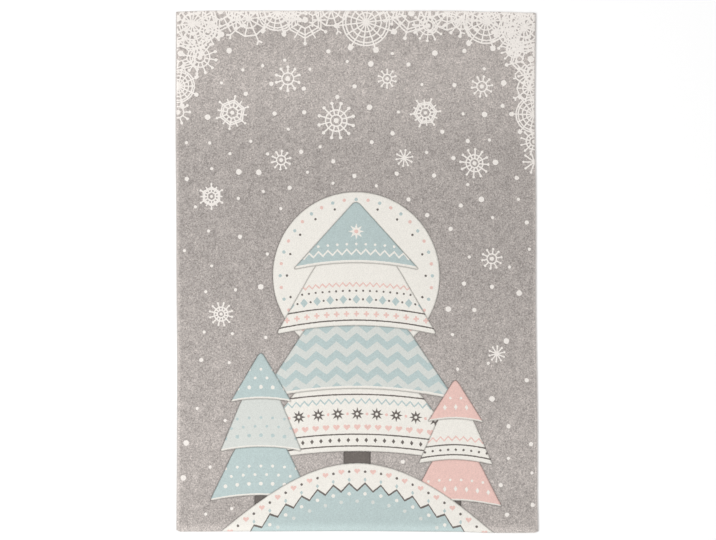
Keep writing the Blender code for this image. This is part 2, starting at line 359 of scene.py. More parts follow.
class Tier:
    """One tier of a fir, painted in its ground colour. Its hem hangs towards its tips."""

    def __init__(self, tree, number, yarn):
        tree_name, self.middle, foot, width, height, tiers = tree
        self.name = f"{tree_name}_{number}"
        self.rise = height * (1 - TRUNK_HEIGHT) / tiers
        self.hem = foot + height * TRUNK_HEIGHT + self.rise * number
        self.last = number == tiers - 1
        self.half, self.above_half = (width / 2 * (1 - TAPER * n / tiers) for n in (number, number + 1))
        figure(self.name, self.outline(), yarn)

    def drop(self, x, half=None):
        """How far the hem hangs down at x from the middle."""
        half = half or self.half
        return 2 * half * DROOP * (x / half) ** 2

    def row_y(self, x, up):
        """Where a row that follows the hem lies along the rug."""
        return self.hem + up - self.drop(x)

    def outline(self):
        right = [Vector((self.half, self.hem - self.drop(self.half)))]
        top = [Vector((0.0, self.hem + self.rise))] if self.last else []
        if not self.last:
            notch = self.above_half * NOTCH
            low = self.hem + self.rise - self.drop(notch, self.above_half)
            right += [Vector((notch, low)), Vector((notch * SHOULDER_IN, low + self.rise * SHOULDER_UP))]
        left = [Vector((-p.x, p.y)) for p in reversed(right)]
        inner = self.half * HEM_SHARE
        hem_line = [Vector((-inner + 2 * inner * i / HEM_STEPS, 0)) for i in range(HEM_STEPS + 1)]
        hem_line = [Vector((p.x, self.hem - self.drop(p.x))) for p in hem_line]
        curved = rounded([*right, *top, *left, *hem_line], CORNER_ROUNDING, ARC_STEPS)
        return [(x + self.middle, y) for x, y in curved]

    def band(self, spots, thick, yarn):
        """A band along spots that count from the middle."""
        low = [(self.middle + x, y - thick / 2) for x, y in spots]
        high = [(self.middle + x, y + thick / 2) for x, y in reversed(spots)]
        motif(self.name, low + high, yarn)

    def line(self, up, thick=FINE_LINE, yarn="dark"):
        xs = [self.half * LINE_REACH * (2 * i / LINE_STEPS - 1) for i in range(LINE_STEPS + 1)]
        self.band([(x, self.row_y(x, up)) for x in xs], thick, yarn)

    def row(self, up, spacing, yarn, draw, *sizes, shift=0.0):
        """Small shapes in a row that follows the hem."""
        count = int(self.half / spacing) + 1
        for i in range(-count, count + 1):
            x = (i + shift) * spacing
            motif(self.name, draw(self.middle + x, self.row_y(x, up), *sizes), yarn)

    def zigzag(self, up, thick, tall, pitch, yarn):
        count = int(2 * self.half / pitch) + 2
        xs = [pitch / 2 * i - pitch * count / 2 for i in range(2 * count + 1)]
        spots = [(x, self.row_y(x, up) + (tall / 2 if i % 2 else -tall / 2)) for i, x in enumerate(xs)]
        self.band(spots, thick, yarn)


def paint_trunk(tree, hidden):
    """The trunk, some of it hidden behind the lowest tier."""
    name, middle, foot, width, height, _ = tree
    half = width * TRUNK_WIDTH / 2
    left, right = middle - half, middle + half
    high = foot + height * TRUNK_HEIGHT + hidden
    figure(f"{name}_trunk", [(left, foot), (right, foot), (right, high), (left, high)], "dark")


# In the next three, the first number is the height above the hem. A row's second is its
# spacing, and a zigzag's others are its thickness, height and pitch.
def paint_middle_fir(tree):
    paint_trunk(tree, hidden=0.06)

    skirt = Tier(tree, 0, "cream")
    skirt.line(0.024)
    skirt.row(0.05, 0.04, "dark", diamond, 0.016, 0.022)
    skirt.line(0.076)
    skirt.row(0.108, 0.046, "pink", heart, 0.03)
    skirt.row(0.166, 0.086, "dark", star, 0.03)
    skirt.row(0.166, 0.086, "pink", disc, 0.0065, shift=0.5)
    skirt.row(0.166, 0.086, "cream", disc, 0.0065)
    skirt.zigzag(0.222, 0.009, 0.02, 0.036, "aqua")
    skirt.line(0.252)

    chevrons = Tier(tree, 1, "aqua")
    for i in range(4):
        chevrons.zigzag(0.03 + 0.072 * i, 0.036, 0.036, 0.09, "pale_aqua")
    chevrons.line(0.0, HEM_LINE, "cream")

    bands = Tier(tree, 2, "cream")
    bands.line(0.024)
    bands.row(0.052, 0.044, "pink", cross, 0.024, 0.008)
    bands.line(0.08)
    bands.row(0.116, 0.058, "aqua", diamond, 0.034, 0.04)
    bands.row(0.116, 0.058, "dark", disc, 0.005, shift=0.5)
    bands.row(0.154, 0.03, "dark", disc, 0.005)
    bands.zigzag(0.182, 0.008, 0.016, 0.03, "pink")

    crown = Tier(tree, 3, "aqua")
    crown.line(0.0, HEM_LINE, "cream")
    crown.zigzag(0.048, 0.01, 0.022, 0.042, "cream")
    crown.row(0.082, 0.042, "cream", disc, 0.006)
    star_y = crown.hem + 0.138
    motif(crown.name, star(crown.middle, star_y, 0.036), "cream")
    motif(crown.name, disc(crown.middle, star_y, 0.009), "pink")


def paint_left_fir(tree):
    paint_trunk(tree, hidden=0.04)
    for number, yarn in enumerate(("aqua", "pale_aqua", "aqua")):
        tier = Tier(tree, number, yarn)
        tier.line(-0.002, 0.022, "cream")
        dots = "cream" if yarn == "aqua" else "aqua"
        tier.row(0.052, 0.052, dots, disc, 0.0085)
        tier.row(0.092, 0.052, dots, disc, 0.0065, shift=0.5)
        tier.row(0.13, 0.052, dots, disc, 0.0065)


def paint_right_fir(tree):
    paint_trunk(tree, hidden=0.04)
    for number, yarn in enumerate(("pink", "cream", "pink")):
        tier = Tier(tree, number, yarn)
        if yarn == "pink":
            tier.line(-0.002, 0.02, "cream")
            tier.row(0.052, 0.048, "cream", diamond, 0.016, 0.026)
            tier.row(0.092, 0.048, "cream", disc, 0.006, shift=0.5)
        else:
            tier.line(0.022)
            tier.row(0.044, 0.034, "dark", disc, 0.0055)
            tier.line(0.066)
            tier.zigzag(0.094, 0.008, 0.018, 0.034, "pink")


def mound_y(x, lower=0.0):
    """Where the mound's top, or a line that far below it, lies along the rug."""
    share = (x / MOUND_HALF + 1) / 2
    return MOUND_FOOT - lower + MOUND_RISE * sin(pi * min(1.0, max(0.0, share)))


def paint_mound():
    """A cream top over an aqua foot, with a dark zigzag between them."""
    xs = [MOUND_HALF * (2 * i / MOUND_STEPS - 1) for i in range(MOUND_STEPS + 1)]
    figure("mound", [(x, mound_y(x)) for x in reversed(xs)], "cream")
    count = int(2 * MOUND_HALF / TOOTH_PITCH)
    teeth = []
    for i in reversed(range(2 * count + 1)):
        up = TOOTH_HEIGHT / 2 if i % 2 else -TOOTH_HEIGHT / 2
        teeth.append((TOOTH_PITCH / 2 * i - TOOTH_PITCH * count / 2, up))
    end = -LENGTH / 2 - PAST_END
    for drop, yarn in ((0.0, "dark"), (CREST_LINE, "aqua")):
        line = [(x, mound_y(x, CREST_DEPTH) - drop + up) for x, up in teeth]
        motif("mound", [(line[0][0], end), *line, (line[-1][0], end)], yarn)
    # Columns: what draws it, its sizes, how far below the top, shift in teeth, yarn
    trimmings = (
        (heart, (0.026,), 0.034, 0.0, "pink"),
        (disc, (0.006,), 0.036, 0.5, "dark"),
        (diamond, (0.014, 0.02), CREST_DEPTH - 0.028, 0.5, "aqua"),
        (disc, (0.008,), CREST_DEPTH + 0.034, 0.5, "cream"),
        (disc, (0.008,), CREST_DEPTH + 0.068, 0.0, "pale_aqua"),
    )
    for i in range(count + 1):
        for draw, sizes, lower, shift, yarn in trimmings:
            x = TOOTH_PITCH * (i - count / 2) + TOOTH_PITCH * shift
            motif("mound", draw(x, mound_y(x, lower), *sizes), yarn)


def paint_moon():
    """A disc with two rings of beads inside its edge."""
    x, y, radius = MOON
    figure("moon", disc(x, y, radius), "cream")
    outer, inner = OUTER_RING * radius, INNER_RING * radius
    for i in range(MOON_BEADS):
        angle = 2 * pi * i / MOON_BEADS
        s, c = sin(angle), cos(angle)
        motif("moon", disc(x + outer * s, y + outer * c, OUTER_BEAD), "pink" if i % 2 else "aqua")
        if i % 2 == 0:
            motif("moon", disc(x + inner * s, y + inner * c, INNER_BEAD), "dark")


# ---- Snow
# Columns: spokes, radius of the hub, rings (radius and sides, 0 for a round one), start of
# the spokes, end of the long ones and of the short ones between them, kind of tip and its
# size. Lengths are shares of the flake's radius.
FLAKES = {
    "web": (14, 0.08, ((0.3, 0), (0.47, 0), (0.64, 0), (0.73, 0)), 0.0, 0.86, 0.73, "barred bead", 0.085),
    "lace": (12, 0.12, ((0.34, 6), (0.6, 6), (0.72, 6)), 0.3, 0.88, 0.84, "bead", 0.07),
    "forked": (10, 0.07, ((0.34, 10), (0.62, 10)), 0.0, 0.84, 0.62, "fork", 0.15),
    "wheel": (12, 0.14, ((0.3, 0), (0.56, 0)), 0.3, 0.86, 0.86, "bead", 0.09),
    "daisy": (10, 0.2, ((0.46, 0),), 0.46, 0.84, 0.84, "bead", 0.12),
    "burst": (10, 0.14, (), 0.0, 0.88, 0.88, "bead", 0.11),
}
SMALLEST_BEAD = 0.005

# Columns: kind, across, along, radius and line width in mm, turn in degrees
SNOWFLAKES = (
    ("web", -725, 1095, 150, 7.5, 8), ("lace", -775, 965, 110, 7, 15), ("wheel", -690, 945, 78, 7, 10),
    ("web", -785, 820, 98, 7, 13), ("daisy", -785, 705, 54, 7, 18), ("wheel", -790, 1120, 105, 7.5, 15),
    ("lace", -600, 1150, 125, 7.5, 4), ("wheel", -655, 1060, 66, 7, 8), ("forked", -475, 1115, 128, 7.5, 12),
    ("wheel", -530, 1150, 80, 7, 0), ("web", -350, 1150, 118, 7.5, 9), ("lace", -225, 1110, 112, 7, 0),
    ("wheel", -285, 1150, 70, 7, 12), ("forked", -110, 1155, 118, 7.5, 18), ("web", 45, 1100, 142, 7.5, 6),
    ("daisy", 165, 1150, 62, 7, 6), ("lace", 245, 1140, 122, 7.5, 14), ("wheel", 320, 1085, 72, 7, 3),
    ("forked", 405, 1145, 128, 7.5, 2), ("wheel", 470, 1120, 88, 7, 7), ("web", 575, 1110, 136, 7.5, 11),
    ("lace", 655, 1150, 120, 7.5, 20), ("web", 745, 1085, 140, 7.5, 3), ("wheel", 680, 1050, 82, 7, 8),
    ("lace", 775, 945, 118, 7, 15), ("wheel", 700, 985, 60, 7, 14), ("forked", 770, 815, 88, 7, 18),
    ("web", 790, 700, 108, 7, 13), ("wheel", 785, 885, 70, 7, 15), ("wheel", 790, 580, 62, 7, 15),
    ("burst", 790, 490, 50, 7, 18), ("wheel", 790, 1130, 95, 7.5, 15),
    ("lace", -545, 700, 78, 7.4, 10), ("daisy", -300, 850, 56, 7.4, 0), ("wheel", -85, 665, 84, 7.6, 16),
    ("daisy", 140, 850, 42, 6.6, 0), ("lace", 310, 700, 70, 7.2, 24), ("daisy", 560, 820, 48, 7, 10),
    ("wheel", 525, 480, 66, 7.2, 4), ("daisy", -330, 490, 44, 6.8, 5), ("burst", 215, 500, 36, 6.4, 9),
    ("lace", -640, 330, 58, 6.8, 0), ("daisy", 600, 60, 46, 6.8, 8), ("wheel", -600, -190, 54, 6.8, 14),
    ("burst", 620, -360, 34, 6.4, 5),
)
ROUND_SIDES = 30  # of a ring that looks round
FINER_LINE = 0.85  # of spokes and rings, as a share of the line width
BAR_LINE = 0.8  # of the cross bar at a spoke's tip
BEAD_OUT = 0.8  # how far a bead stands out, as a share of its radius
FORK_SPREAD = 42  # degrees between a spoke and a prong
RING_OVERLAP = 0.25  # of a ring's strokes, as a share of the line width
DOT_SIZES = (0.0072, 0.0095, 0.0125)  # radii
DOT_SHARES = (0.35, 0.45, 0.2)
DOT_SPACING = 0.112
DOT_SPACING_UP = 0.086  # above the trees
DOTS_TRIED = 2600
DOTS_ACROSS, DOTS_LOWEST, DOTS_HIGHEST = 0.775, -1.125, 1.115
ABOVE_TREES = 0.3
FLAKE_MARGIN, DOT_FROM_FLAKE = 1.04, 0.008  # a factor of its radius, and metres
DOT_FROM_FIGURE = 0.034


def snow(outline):
    motif(GROUND, outline, "snow")


def ring(x, y, radius, sides, width, turn):
    """Straight strokes that overlap a little at the corners."""
    angles = [turn + 2 * pi * i / sides for i in range(sides)]
    spots = [(x + radius * sin(a), y + radius * cos(a)) for a in angles]
    for (x0, y0), (x1, y1) in sides_of(spots):
        reach = RING_OVERLAP * width / hypot(x1 - x0, y1 - y0)
        dx, dy = (x1 - x0) * reach, (y1 - y0) * reach
        snow(stroke(x0 - dx, y0 - dy, x1 + dx, y1 + dy, width))


def spoke_tip(kind, x, y, angle, size, width):
    """A bead, a bead under a small cross bar, or a fork of two prongs."""
    s, c = sin(angle), cos(angle)
    if kind == "fork":
        for side in (-1, 1):
            lean = angle + side * radians(FORK_SPREAD)
            snow(stroke(x, y, x + size * sin(lean), y + size * cos(lean), width))
        return
    if kind == "barred bead":
        snow(stroke(x - c * size, y + s * size, x + c * size, y - s * size, width * BAR_LINE))
    snow(disc(x + s * size * BEAD_OUT, y + c * size * BEAD_OUT, size))


def flake(kind, x, y, radius, width, turn):
    spokes, hub, rings, start, long_reach, short_reach, tip, tip_share = FLAKES[kind]
    tip_size = max(radius * tip_share, SMALLEST_BEAD)
    for i in range(spokes):
        angle = turn + 2 * pi * i / spokes
        s, c = sin(angle), cos(angle)
        inner, outer = radius * start, radius * (short_reach if i % 2 else long_reach)
        snow(stroke(x + s * inner, y + c * inner, x + s * outer, y + c * outer, width * FINER_LINE))
        if short_reach == long_reach or i % 2 == 0:
            spoke_tip(tip, x + s * outer, y + c * outer, angle, tip_size, width)
    for share, sides in rings:
        ring(x, y, radius * share, sides or ROUND_SIDES, width * FINER_LINE, turn)
    snow(disc(x, y, radius * hub))


def inside(x, y, outline):
    within = False
    for (ax, ay), (bx, by) in sides_of(outline):
        if (ay > y) != (by > y) and x < ax + (bx - ax) * (y - ay) / (by - ay):
            within = not within
    return within


def paint_dots(flakes):
    """Dots, scattered evenly between the flakes and clear of the figures."""
    rng = np.random.default_rng(SEED)
    figures = [shape.outline for shape in painting if shape.figure]
    around = [(cos(k * pi / 4), sin(k * pi / 4)) for k in range(8)]
    kept = []
    for _ in range(DOTS_TRIED):
        x, y = rng.uniform(-DOTS_ACROSS, DOTS_ACROSS), rng.uniform(DOTS_LOWEST, DOTS_HIGHEST)
        radius = rng.choice(DOT_SIZES, p=DOT_SHARES)
        spacing = DOT_SPACING_UP if y > ABOVE_TREES else DOT_SPACING
        clear = all(hypot(x - a, y - b) > spacing for a, b, _ in kept)
        for _, a, b, reach, _, _ in flakes:
            clear = clear and hypot(x - a, y - b) > reach * FLAKE_MARGIN + radius + DOT_FROM_FLAKE
        rim = [(x + DOT_FROM_FIGURE * c, y + DOT_FROM_FIGURE * s) for c, s in around]
        if clear and not any(inside(*spot, outline) for outline in figures for spot in rim):
            kept.append((x, y, radius))
    for dot in kept:
        snow(disc(*dot))


def paint():
    middle, left, right = FIRS
    paint_moon()
    paint_middle_fir(middle)
    paint_left_fir(left)
    paint_right_fir(right)
    paint_mound()
    flakes = []
    for kind, *sizes, turn in SNOWFLAKES:
        flakes.append((kind, *(size / 1000 for size in sizes), radians(turn)))
    paint_dots(flakes)
    for placed in flakes:
        flake(*placed)


# ---- Triangulation
HALF_X = WIDTH / 2 - 2 * CORD_RADIUS - GAP
HALF_Y = LENGTH / 2


def rectangle(half_x, half_y):
    return [(-half_x, -half_y), (half_x, -half_y), (half_x, half_y), (-half_x, half_y)]


def clipped(outline):
    """The part of an outline inside the rug's rim."""
    for axis, limit, sign in ((0, HALF_X, 1), (0, -HALF_X, -1), (1, HALF_Y, 1), (1, -HALF_Y, -1)):
        kept = []
        for before, here in zip(outline[-1:] + outline[:-1], outline):
            was, now = sign * (before[axis] - limit) <= 0, sign * (here[axis] - limit) <= 0
            if was != now:
                share = (limit - before[axis]) / (here[axis] - before[axis])
                kept.append(tuple(b + (h - b) * share for b, h in zip(before, here)))
            if now:
                kept.append(here)
        outline = kept
        if len(outline) < 3:
            return []
    return outline


def stepped(outline, step):
    """The outline with points added, so that no side is longer than a step."""
    points = []
    for (ax, ay), (bx, by) in sides_of(outline):
        length = hypot(bx - ax, by - ay)
        if length < SHORTEST_SIDE:
            continue
        parts = ceil(length / step)
        points += [(ax + (bx - ax) * k / parts, ay + (by - ay) * k / parts) for k in range(parts)]
    return points


def area_within(outline):
    """The area inside a closed outline, negative if it runs clockwise."""
    return sum(ax * by - bx * ay for (ax, ay), (bx, by) in sides_of(outline)) / 2


def triangulate(shapes, extra):
    """Points, triangles that keep to the shapes' outlines, and the shapes that hold each."""
    points, faces, owners = [], [], []
    for number, shape in enumerate(shapes):
        outline = clipped(shape.outline)
        area = area_within(outline)
        if abs(area) < SMALLEST_SHAPE:
            continue
        outline = stepped(outline if area > 0 else outline[::-1], OUTLINE_STEP)
        faces.append(list(range(len(points), len(points) + len(outline))))
        owners.append(number)
        points += outline
    rim = stepped(rectangle(HALF_X + WALL_INSET, HALF_Y + WALL_INSET), OUTLINE_STEP)
    edges = list(sides_of([len(points) + i for i in range(len(rim))]))
    points = [Vector(p) for p in points + rim + [tuple(p) for p in extra]]
    found = delaunay_2d_cdt(points, edges, faces, 0, SAME_POINT, True)
    spots = np.array([tuple(p) for p in found[0]])
    return spots, np.array(found[2]), [[owners[i] for i in held] for held in found[5]]


def figure_of(held):
    """The number of the figure that shows, or -1 on the ground."""
    return max((i for i in held if painting[i].figure), default=-1)


def yarn_of(held):
    top = figure_of(held)
    name = painting[top].figure if top >= 0 else GROUND
    best = max((i for i in held if i > top and painting[i].within == name), default=top)
    return painting[best].yarn if best >= 0 else "grey"


def carved_lines():
    """Both ends of each edge where two figures, or a figure and the ground, meet."""
    numbered = [shape if shape.figure else Shape([], shape.yarn) for shape in painting]
    spots, triangles, held = triangulate(numbered, [])
    owner = np.repeat([figure_of(h) for h in held], 3)
    edges = np.sort(triangles[:, [0, 1, 1, 2, 2, 0]].reshape(-1, 2), axis=1)
    order = np.lexsort(edges.T[::-1])
    edges, owner = edges[order], owner[order]
    differ = (edges[1:] == edges[:-1]).all(axis=1) & (owner[1:] != owner[:-1])
    return spots[edges[:-1][differ].T]


def groove_rows(starts, ends):
    along = ends - starts
    length = np.linalg.norm(along, axis=1)
    keep = length > SHORTEST_SIDE
    starts, along, length = starts[keep], along[keep], length[keep]
    across = np.c_[-along[:, 1], along[:, 0]] / length[:, None]
    middles = starts + along / 2
    rows = [middles + side * distance * across for distance in GROOVE_ROWS for side in (-1, 1)]
    return np.concatenate(rows)


def even_points():
    """Staggered rows of points, and rows along the rim."""
    margin = (RIM_ROWS[-1] + GRID_FROM_RIM) * MM
    xs = np.arange(-HALF_X + margin, HALF_X - margin, GRID_STEP)
    ys = np.arange(-HALF_Y + margin, HALF_Y - margin, GRID_STEP * sqrt(3) / 2)
    x, y = np.meshgrid(xs, ys)
    x[1::2] += GRID_STEP / 2
    rim = []
    for inset in RIM_ROWS:
        rim += stepped(rectangle(HALF_X - inset * MM, HALF_Y - inset * MM), OUTLINE_STEP)
    return np.concatenate([np.c_[x.ravel(), y.ravel()], rim])


def nearest(points, among):
    """The distance from each point to the nearest of some others."""
    tree = KDTree(len(among))
    for i, (x, y) in enumerate(among):
        tree.insert((x, y, 0.0), i)
    tree.balance()
    return np.array([tree.find((x, y, 0.0))[2] for x, y in points])


def pile_mesh():
    """Points, triangles, each triangle's yarn, and each point's distance to a carved line."""
    starts, ends = carved_lines()
    carved = np.concatenate([starts, (starts + ends) / 2])
    outlines = [clipped(shape.outline) for shape in painting]
    outlines = np.array([spot for o in outlines if o for spot in stepped(o, OUTLINE_STEP / 2)])
    rows = groove_rows(starts, ends)
    rows = rows[nearest(rows, carved) > ROW_FROM_GROOVE]
    rows = rows[nearest(rows, outlines) > ROW_FROM_OUTLINE]
    grid = even_points()
    grid = grid[nearest(grid, outlines) > CLEAR_OF_OUTLINE]
    grid = grid[nearest(grid, carved) > GROOVE_CLEAR]
    spots, triangles, held = triangulate(painting, np.concatenate([rows, grid]))
    yarns = np.array([yarn_of(h) for h in held])
    return spots, triangles, yarns, nearest(spots, carved)


# ---- The pile's shape
def soft_corner(inset_x, inset_y, upper):
    """How far points near a corner move in, to make it round."""
    reach = SIDE_RIM[-1][0] * MM
    a, b = np.clip(1 - inset_x / reach, 0, 1), np.clip(1 - inset_y / reach, 0, 1)
    reach = reach * np.where(upper, UPPER_SOFTNESS, LOWER_SOFTNESS)
    return reach * (a - a * np.sqrt(1 - b * b / 2)), reach * (b - b * np.sqrt(1 - a * a / 2))


def plan_area(places, triangles):
    """Twice the area of each triangle seen from above, negative if it is turned over."""
    a, b, c = places[triangles.T]
    (bx, by), (cx, cy) = (b - a).T, (c - a).T
    return bx * cy - by * cx


def ruffled(places, triangles, amount):
    """Places pushed about by the tufts, but not so far that a triangle turns over."""
    push = np.c_[tuple(value_noise(*places.T, TUFT_CELL, seed) for seed in RAGGED_SEEDS)]
    push *= amount[:, None]
    upright = plan_area(places, triangles) > 0
    for _ in range(RUFFLE_ROUNDS):
        turned = upright & (plan_area(places + push, triangles) <= 0)
        push[np.unique(triangles[turned])] *= 0.5
    return places + push


def rim_height(inset_x, inset_y):
    side = np.interp(inset_x / MM, *np.array(SIDE_RIM).T)
    end = np.interp(inset_y / MM, *np.array(END_RIM).T)
    return np.minimum(side, end) * MM


def lean_light(inset_x, inset_y, along):
    """Painted light of the pile: lighter at the rim, where it leans out, times the painted light and shade
    along the rug.
    """
    side = SIDE_LIGHT * (1 - smooth_step(inset_x / SIDE_LIGHT_REACH))
    end = END_LIGHT * (1 - smooth_step((inset_y - END_LIGHT_START) / END_LIGHT_REACH))
    return (1 + np.maximum(side, end)) * eased(NAP_LIGHT_AND_SHADE, along)


def shaped(spots, triangles, groove, relief):
    """Where the pile's points are, and the painted shade of its grooves and painted light of its lean at
    each.
    """
    x, y = spots.T
    inset_x, inset_y = HALF_X - np.abs(x), HALF_Y - np.abs(y)
    cord_end = np.where(y > 0, UPPER_CORD_END, LOWER_CORD_END)
    wall = np.clip(-np.minimum(inset_x, inset_y) / WALL_INSET, 0, 1)
    inset_x, inset_y = np.maximum(inset_x, 0), np.maximum(inset_y, 0)
    height = rim_height(inset_x, inset_y)
    full = height / PILE_TOP
    shift_x, shift_y = soft_corner(inset_x, inset_y, y > 0)
    lean = (1 - wall) * (1 - smooth_step(inset_x / LEAN_INSET)) * smooth_step(inset_y / cord_end)
    x = np.sign(x) * (HALF_X - inset_x - shift_x + LEAN_OUT * lean)
    y = np.sign(y) * (HALF_Y - inset_y - shift_y)
    px, py = plan(x, y)

    small, wide = RELIEF_SEEDS
    tufts = value_noise(px, py, TUFT_CELL, small) + WIDE_SHARE * value_noise(px, py, WIDE_CELL, wide)
    depth = GROOVE_DEPTH * smooth_step(1 - groove / GROOVE_HALF)
    z = height + LEAN_LIFT * lean + swell(px, py) * full**4 - depth * full + relief * tufts
    z = z * (1 - wall) + BACK_TOP * wall
    px, py = ruffled(np.c_[px, py], triangles, RAGGED * (1 - wall)).T
    # Painted shade, darkest along each carved line
    shade = 1 - GROOVE_SHADE * smooth_step(1 - groove / GROOVE_SHADE_HALF)
    return np.c_[px, py, z], shade, lean_light(inset_x, inset_y, py)


def vertex_normals(places, triangles):
    """Smooth normals of the whole pile, so that its pieces meet without a seam."""
    a, b, c = places[triangles.T]
    face = np.cross(b - a, c - a)
    normals = np.zeros_like(places)
    for i in range(3):
        np.add.at(normals, triangles[:, i], face)
    return normals / np.maximum(np.linalg.norm(normals, axis=1, keepdims=True), 1e-12)


# ---- Materials
def new_material(name, looks):
    """A material, its nodes, shader and coordinates. looks has values for the shader's inputs."""
    made = bpy.data.materials.new(name)
    made.use_nodes = True
    shader = made.node_tree.nodes["Principled BSDF"]
    for key, value in looks.items():
        shader.inputs[key].default_value = value
    tree = made.node_tree
    return made, tree, shader, add_node(tree, "TexCoord").outputs["Object"]


def add_node(tree, kind, linked=None, **settings):
    """A node with its settings and inputs. linked says what feeds the others."""
    node = tree.nodes.new("ShaderNode" + kind)
    for key, value in settings.items():
        if isinstance(value, (int, float)) and key in node.inputs:
            node.inputs[key].default_value = value
        else:
            setattr(node, key, value)
    for key, source in (linked or {}).items():
        tree.links.new(source, node.inputs[key])
    return node


def noise(tree, coords, **settings):
    return add_node(tree, "TexNoise", {"Vector": coords}, **settings).outputs["Fac"]


def scaled(tree, value, span, to):
    """The value with its span stretched to another, and held there."""
    ends = dict(zip(("From Min", "From Max", "To Min", "To Max"), (*span, *to)))
    return add_node(tree, "MapRange", {"Value": value}, clamp=True, **ends).outputs["Result"]


def product(tree, first, *others):
    for other in others:
        node = add_node(tree, "Math", {0: first, 1: other}, operation="MULTIPLY")
        first = node.outputs["Value"]
    return first


def total(tree, a, b, share):
    """a and a share of b."""
    node = add_node(tree, "Math", {0: b, 2: a}, operation="MULTIPLY_ADD")
    node.inputs[1].default_value = share
    return node.outputs["Value"]


def frayed(tree, coords, fibres):
    """The coordinates, pushed about by a fine noise, so that tufts end in fibres."""
    linked = {0: fibres.node.outputs["Color"], 2: coords}
    node = add_node(tree, "VectorMath", linked, operation="MULTIPLY_ADD")
    node.inputs[1].default_value = (FRAY, FRAY, FRAY)
    return node.outputs["Vector"]


def softened(factors, share):
    """Factors brought nearer to one: a share of their effect is left."""
    return tuple(1 + share * (factor - 1) for factor in factors)


# The painted light and shade that each point of a mesh carries: shade in grooves and creases, light at the
# pile's rim and along the rug
def painted_light_and_shade_node(tree):
    return add_node(tree, "Attribute", attribute_name="painted_light_and_shade").outputs["Fac"]


def dress(tree, shader, colour, bright, height, bump, rough):
    """Links a colour times a brightness, a bump (strength and depth) and a roughness."""
    base = add_node(tree, "VectorMath", {"Scale": bright}, operation="SCALE")
    base.inputs[0].default_value = linear_colour(colour)
    bumps = add_node(tree, "Bump", {"Height": height}, Strength=bump[0], Distance=bump[1])
    tree.links.new(base.outputs["Vector"], shader.inputs["Base Color"])
    tree.links.new(bumps.outputs["Normal"], shader.inputs["Normal"])
    tree.links.new(rough, shader.inputs["Roughness"])


def pile_material(name):
    """Tufts with tones of their own that fray into fibres, painted shade in the gaps between them, and the
    painted light and shade that the mesh carries.
    """
    yarn = YARNS[name]
    tones = (yarn.dark, yarn.light)
    looks = {"Specular IOR Level": 0.25, "Sheen Weight": 0.12, "Sheen Roughness": 0.6}
    made, tree, shader, coords = new_material(f"pile_{name}", looks)
    fibres = noise(tree, coords, Scale=1100.0, Detail=2.0, Roughness=0.6)
    tufts = {"Vector": frayed(tree, coords, fibres)}
    tufts = add_node(tree, "TexVoronoi", tufts, Scale=TUFTS, Randomness=0.9).outputs
    strands = noise(tree, tufts["Position"], Scale=165.0, Detail=3.0, Roughness=0.62)
    clouds = noise(tree, coords, Scale=27.0, Detail=3.0, Roughness=0.6)

    # Painted shade: each tuft is darker towards the gaps round it, and a little lighter at its middle
    gap_shade = 0.1 + 0.22 * (yarn.light - yarn.dark)
    bright = product(
        tree,
        scaled(tree, strands, (0.34, 0.66), tones),
        scaled(tree, tufts["Color"], (0.2, 0.8), softened(tones, OWN_TONE)),
        scaled(tree, tufts["Distance"], (0.2, 0.75), (1 + 0.25 * gap_shade, 1 - gap_shade)),
        scaled(tree, fibres, NOISE_SPAN, (0.94, 1.06)),
        scaled(tree, clouds, NOISE_SPAN, softened(tones, CLOUD_TONE)),
        painted_light_and_shade_node(tree),
    )
    height = scaled(tree, tufts["Distance"], (0.0, 0.8), (1.0, 0.0))
    height = total(tree, total(tree, height, fibres, share=0.35), strands, share=0.8)
    rough = scaled(tree, strands, NOISE_SPAN, (0.98, 0.84))
    dress(tree, shader, yarn.colour, bright, height, (0.65, 0.0018), rough)
    return made


def edge_material():
    """Fine twisted plies, with painted shade in the creases between the wraps."""
    made, tree, shader, coords = new_material("overcast_yarn", {"Sheen Weight": 0.15})
    plies = noise(tree, coords, Scale=420.0, Detail=3.0, Roughness=0.6)
    patches = noise(tree, coords, Scale=60.0, Detail=2.0, Roughness=0.5)
    bright = product(
        tree,
        scaled(tree, plies, NOISE_SPAN, (0.88, 1.08)),
        scaled(tree, patches, NOISE_SPAN, (0.95, 1.05)),
        painted_light_and_shade_node(tree),
    )
    rough = scaled(tree, plies, NOISE_SPAN, (0.92, 0.74))
    dress(tree, shader, EDGE_YARN, bright, plies, (0.4, 0.0006), rough)
    return made


def threads(tree, coords, way, tones):
    """Threads that follow each other along an axis, between two tones."""
    wave = add_node(tree, "TexWave", {"Vector": coords}, bands_direction=way, Scale=62.0, Distortion=0.6)
    return scaled(tree, wave.outputs["Fac"], (0, 1), tones)


def back_material():
    """Coarse weft over fine warp, in a natural yarn."""
    made, tree, shader, coords = new_material("woven_back", {})
    fibres = noise(tree, coords, Scale=500.0, Detail=3.0, Roughness=0.6)
    weave = product(tree, threads(tree, coords, "Y", (0.82, 1.05)), threads(tree, coords, "X", (0.9, 1.03)))
    bright = product(tree, weave, scaled(tree, fibres, NOISE_SPAN, (0.9, 1.08)))
    rough = scaled(tree, fibres, NOISE_SPAN, (0.96, 0.8))
    dress(tree, shader, BACK_YARN, bright, weave, (0.6, 0.001), rough)
    return made


# ---- Pieces
def new_object(name, data):
    made = bpy.data.objects.new(name, data)
    bpy.context.scene.collection.objects.link(made)
    return made


